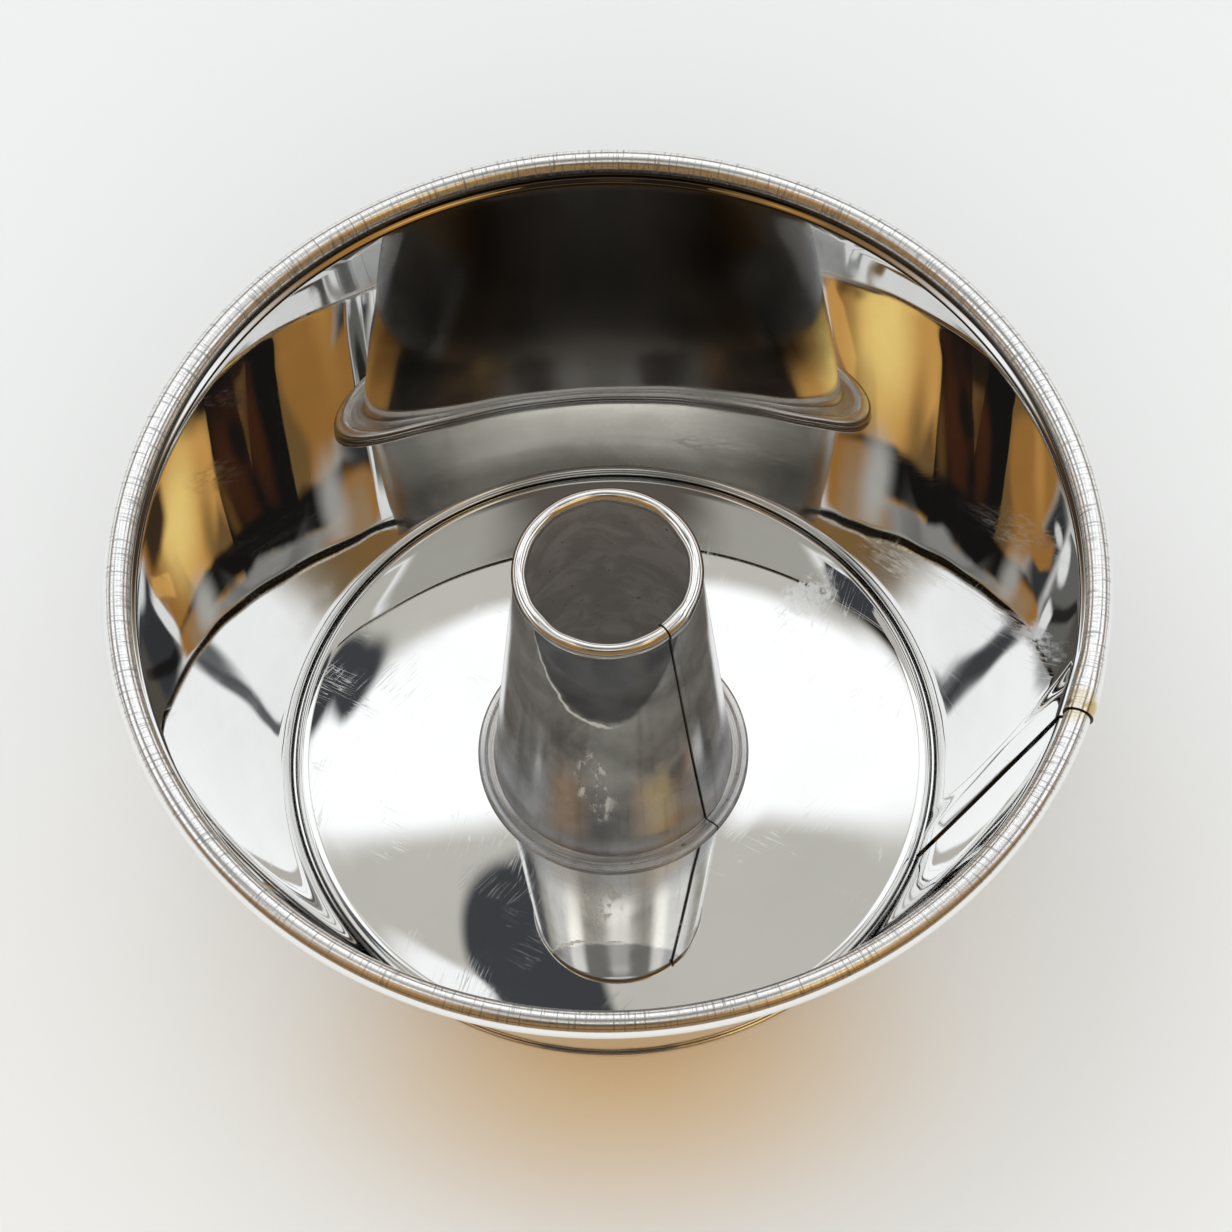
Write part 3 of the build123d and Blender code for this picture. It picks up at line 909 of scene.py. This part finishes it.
def build_wall():
    lap = math.degrees(WALL_LAP / BEAD_CENTRE)
    joggle = math.degrees(WALL_JOGGLE / BEAD_CENTRE)
    wall = LappedSheet(*wall_profile(), 1, wall_columns(lap, joggle), lap, joggle)
    wall.lay_seam(WALL_SEAM, WALL_SEAM_LEAN, RIM_HEIGHT, WALL_SHEET + LAP_RISE_GAP)
    first_bead = wall.rows - RIM_STEPS - 1

    # long dents and finer ones on the cone, and a crumpled band low down
    height = wall.line[:, 1]
    along = wall.along[:, None]
    cone = smooth(height, 4, 14) * (1 - smooth(height, 70, 79.5))
    cone[first_bead - 7 :] = 0
    dents = waves(wall.angle, along, 3, 14, (2, 9), (55, 160)) * 0.035
    dents = dents + waves(wall.angle, along, 4, 16, (10, 26), (22, 60)) * 0.006
    wall.lift = wall.lift + dents * cone[:, None]
    low = smooth(height, FLOOR_TOP + 0.2, FLOOR_TOP + 2) * (1 - smooth(height, 6, 13))
    wall.lift = wall.lift + waves(wall.angle, along, 5, 12, (24, 60), (12, 40)) * 0.010 * low[:, None]

    # dark lines in the neck, under the bead and along the hem: painted shade in these creases, with some
    # dirt in the neck
    shaded_rows = np.zeros(wall.rows)
    for first, last, share in (
        (first_bead - 12, first_bead - 10, 0.75),
        (first_bead - 9, first_bead - 7, 0.42),
        (first_bead - 6, first_bead + 4, 0.75),
        (wall.split - 5, wall.split - 2, 0.75),
    ):
        shaded_rows[first : last + 1] = share
    made = wall.make("wall_sheet", wall_tin(), WALL_SHEET, BEAD_CENTRE, RIM_STEPS, shaded_rows, 0.085, 20)
    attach(made, "pan")
    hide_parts("side_wall")


# Floor disc


def build_floor():
    half = FLOOR_SHEET / 2
    line = walk(
        (FLOOR_RADIUS - half, WALL_SHEET),
        90,
        [
            flat(FLOOR_TOP - FLOOR_SHOULDER - WALL_SHEET, 1),
            bend(FLOOR_SHOULDER - half, 90, 9),
            flat(FLOOR_RADIUS - FLOOR_SHOULDER - HOLE_RADIUS, 34),
        ],
    )
    rows = len(line)
    columns = 360
    turn = np.radians(np.linspace(0, 360, columns + 1)[:-1])
    x = line[:, 0][:, None] * np.cos(turn)
    y = line[:, 0][:, None] * np.sin(turn)

    # faint dents on the flat between the foot ring and the edge
    rng = np.random.default_rng(11)
    dent = np.zeros(x.shape)
    for _ in range(10):
        pitch = rng.uniform(60, 150)
        way, phase = rng.uniform(0, 2 * math.pi, 2)
        dent += np.cos(2 * math.pi * (x * math.cos(way) + y * math.sin(way)) / pitch + phase)
    dent *= 0.02 / math.sqrt(10)
    plate = smooth(line[:, 0], 29.5, 36) * (1 - smooth(line[:, 0], 60, 67))
    height = line[:, 1][:, None] + dent * plate[:, None]

    points = np.stack([x, y, height], -1).reshape(-1, 3)
    uv = np.stack([x * MM, y * MM], -1).reshape(-1, 2)
    i, j = np.meshgrid(np.arange(rows - 1), np.arange(columns), indexing="ij")
    here = i * columns + j
    beside = i * columns + (j + 1) % columns
    quads = np.stack([here, beside, beside + columns, here + columns], -1).reshape(-1, 4)
    made = mesh_object("floor_plate", points, quads, uv, floor_tin(), {})
    thicken(made, FLOOR_SHEET)
    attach(made, "insert")
    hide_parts("floor_disc")


# Centre tube


def tube_profile():
    """The tube's middle line in two parts: clinch, folded foot ring, then cone and curled mouth."""
    half = TUBE_SHEET / 2
    mouth = np.array([MOUTH_RADIUS - MOUTH_BEAD, MOUTH_HEIGHT])
    mouth_bend = MOUTH_BEAD - half
    neck = mouth + polar(mouth_bend + MOUTH_NECK, MOUTH_MEETS_WALL)
    web = TUBE_FOOT - half
    flange_level = FLOOR_TOP - FLOOR_SHEET - CLINCH_GAP - half
    seat = FLOOR_TOP + CLINCH_GAP + half
    ring_centre = TUBE_FOOT + RING_WIDTH - half - RING_BEND
    crest = seat + 2 * RING_BEND
    valley = seat + TUBE_SHEET + VALLEY_GAP
    slope = math.radians(RING_SLOPE)
    drop = (RING_BEND + VALLEY_BEND) * (1 - math.cos(slope))
    reach = (RING_BEND + VALLEY_BEND) * math.sin(slope)
    slope_run = (crest - valley - drop) / math.sin(slope)
    valley_end = ring_centre - RING_CREST - reach - slope_run * math.cos(slope)
    foot = np.array([web + TUBE_FOOT_BEND, valley + TUBE_FOOT_BEND])
    heading, run = tangent_run(foot, TUBE_FOOT_BEND, neck, MOUTH_NECK)
    foot_part = walk(
        (web + CLINCH_BEND + CLINCH_FLANGE, flange_level),
        180,
        [
            flat(CLINCH_FLANGE, 2),
            bend(CLINCH_BEND, -90, 4),
            flat(seat - flange_level - 2 * CLINCH_BEND, 1),
            bend(CLINCH_BEND, -90, 4),
            flat(ring_centre - web - CLINCH_BEND, 3),
            bend(RING_BEND, 180, 10),
            flat(RING_CREST, 1),
            bend(RING_BEND, RING_SLOPE, 3),
            flat(slope_run, 1),
            bend(VALLEY_BEND, -RING_SLOPE, 3),
            flat(valley_end - foot[0], 2),
            bend(TUBE_FOOT_BEND, heading - 180, 6),
            flat(NOTCH_HEIGHT, 1),
        ],
    )
    upper_part = walk(
        foot + polar(TUBE_FOOT_BEND, heading + 90) + polar(NOTCH_HEIGHT, heading),
        heading,
        [
            flat(run - NOTCH_HEIGHT, 36),
            bend(MOUTH_NECK, MOUTH_MEETS_WALL + 90 - heading, 4),
            bend(mouth_bend, MOUTH_WRAP, MOUTH_STEPS),
        ],
    )
    return foot_part, upper_part


def tube_columns(lap, joggle):
    """Angles of the tube's columns from its seam, close together at the lap's two edges."""
    edge = [0, 0.2, 0.45]
    fine = np.arange(0.7, lap + joggle, 0.7)
    rest = np.linspace(lap + joggle, 357, 300)
    before = np.linspace(357, 359, 4)[1:]
    end = np.linspace(359.1, 361, 14)
    over = np.linspace(361, 360 + lap, 10)[1:]
    return np.concatenate([edge, fine, rest, before, end, over])


def build_tube():
    lap = math.degrees(TUBE_LAP / TUBE_FOOT)
    joggle = math.degrees(TUBE_JOGGLE / TUBE_FOOT)
    tube = LappedSheet(*tube_profile(), -1, tube_columns(lap, joggle), lap, joggle)
    tube.lay_seam(TUBE_SEAM, TUBE_SEAM_LEAN, MOUTH_HEIGHT, TUBE_SHEET + LAP_RISE_GAP)

    # dents on the cone, and wrinkles on the inner side of the curled mouth
    height = tube.line[:, 1]
    along = tube.along[:, None]
    cone = smooth(height, 5, 14) * (1 - smooth(height, 72, 79))
    cone[tube.rows - MOUTH_STEPS - 4 :] = 0
    tube.lift = tube.lift + waves(tube.angle, along, 21, 12, (1, 4), (40, 120)) * 0.05 * cone[:, None]
    curl = np.zeros(tube.rows)
    curl[tube.rows - MOUTH_STEPS :] = np.linspace(0, 1, MOUTH_STEPS) ** 1.2
    wrinkle = waves(tube.angle, 0 * along, 22, 9, (6, 16), (40, 41))
    tube.lift = tube.lift + wrinkle * 0.24 * curl[:, None]

    clean = np.zeros(tube.rows)
    made = tube.make("tube_sheet", tube_tin(), TUBE_SHEET, TUBE_FOOT, MOUTH_STEPS, clean, 0.5, 24)
    mark_inside(made)
    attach(made, "insert")
    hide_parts("centre_tube")


# Rim wire


def finish_wire():
    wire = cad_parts["rim_wire"]
    wire.data.materials.clear()
    wire.data.materials.append(wire_steel())


# Studio and camera


def square(name, reach, height, material):
    """A level square of the studio, which is not part of the pan."""
    mesh = bpy.data.meshes.new(name)
    corners = [(-reach, -reach, 0), (reach, -reach, 0), (reach, reach, 0), (-reach, reach, 0)]
    mesh.from_pydata(corners, [], [(0, 1, 2, 3)])
    made = bpy.data.objects.new(name, mesh)
    made.location.z = height
    bpy.context.scene.collection.objects.link(made)
    made.data.materials.append(material)
    return made


def hang_card():
    """The card over the pan, hidden from all but mirrors."""
    card = square("studio_card", CARD_HEIGHT * CARD_REACH, CARD_HEIGHT, card_paint())
    card.visible_camera = False
    card.visible_diffuse = False
    card.visible_shadow = False
    card.visible_transmission = False


def soft_lamp(name, place, energy, size):
    """A round soft lamp aimed at the pan, which mirrors don't show."""
    lamp = bpy.data.lights.new(name, "AREA")
    lamp.shape = "DISK"
    lamp.size = size
    lamp.energy = energy
    lamp.color = (1.0, 0.99, 0.97)
    made = bpy.data.objects.new(name, lamp)
    made.location = place
    made.rotation_euler = (-made.location).to_track_quat("-Z", "Y").to_euler()
    made.visible_glossy = False
    bpy.context.scene.collection.objects.link(made)


def place_camera():
    """The camera fitted to the photograph's rim, floor, tube and base circles."""
    aim = Vector((0, math.cos(CAMERA_ELEVATION), -math.sin(CAMERA_ELEVATION)))
    right = Vector((1, 0, 0))
    up = right.cross(aim)
    along_roll = math.cos(CAMERA_ROLL)
    across_roll = math.sin(CAMERA_ROLL)
    right, up = along_roll * right + across_roll * up, along_roll * up - across_roll * right
    shift_right = (RIM_CENTRE[0] - FRAME / 2) / FOCAL
    shift_up = (FRAME / 2 - RIM_CENTRE[1]) / FOCAL
    look = aim - shift_right * right - shift_up * up
    look.normalize()
    side = look.cross(up).normalized()
    top = side.cross(look)
    lens = bpy.data.cameras.new("camera")
    lens.sensor_fit = "HORIZONTAL"
    lens.sensor_width = 36.0
    lens.lens = FOCAL / FRAME * lens.sensor_width
    lens.clip_start = 0.01
    lens.clip_end = 50
    camera = bpy.data.objects.new("camera", lens)
    rim_middle = Vector((0, 0, RIM_HEIGHT * MM))
    turned = Matrix((side, top, -look)).transposed().to_4x4()
    camera.matrix_world = Matrix.Translation(rim_middle - aim * CAMERA_DISTANCE) @ turned
    bpy.context.scene.collection.objects.link(camera)
    bpy.context.scene.camera = camera


build_wall()
build_floor()
build_tube()
finish_wire()

studio_world()
square("studio_floor", TABLE_REACH, -TABLE_DROP, table_paint())
hang_card()
soft_lamp("soft_key", (-0.7, 0.9, 1.9), 5.0, 1.6)
soft_lamp("front_fill", (0.0, -1.3, 1.3), 5.0, 1.4)
place_camera()

scene = bpy.context.scene
scene.view_settings.view_transform = "Standard"
scene.cycles.max_bounces = 14
scene.cycles.glossy_bounces = 14
scene.cycles.diffuse_bounces = 4
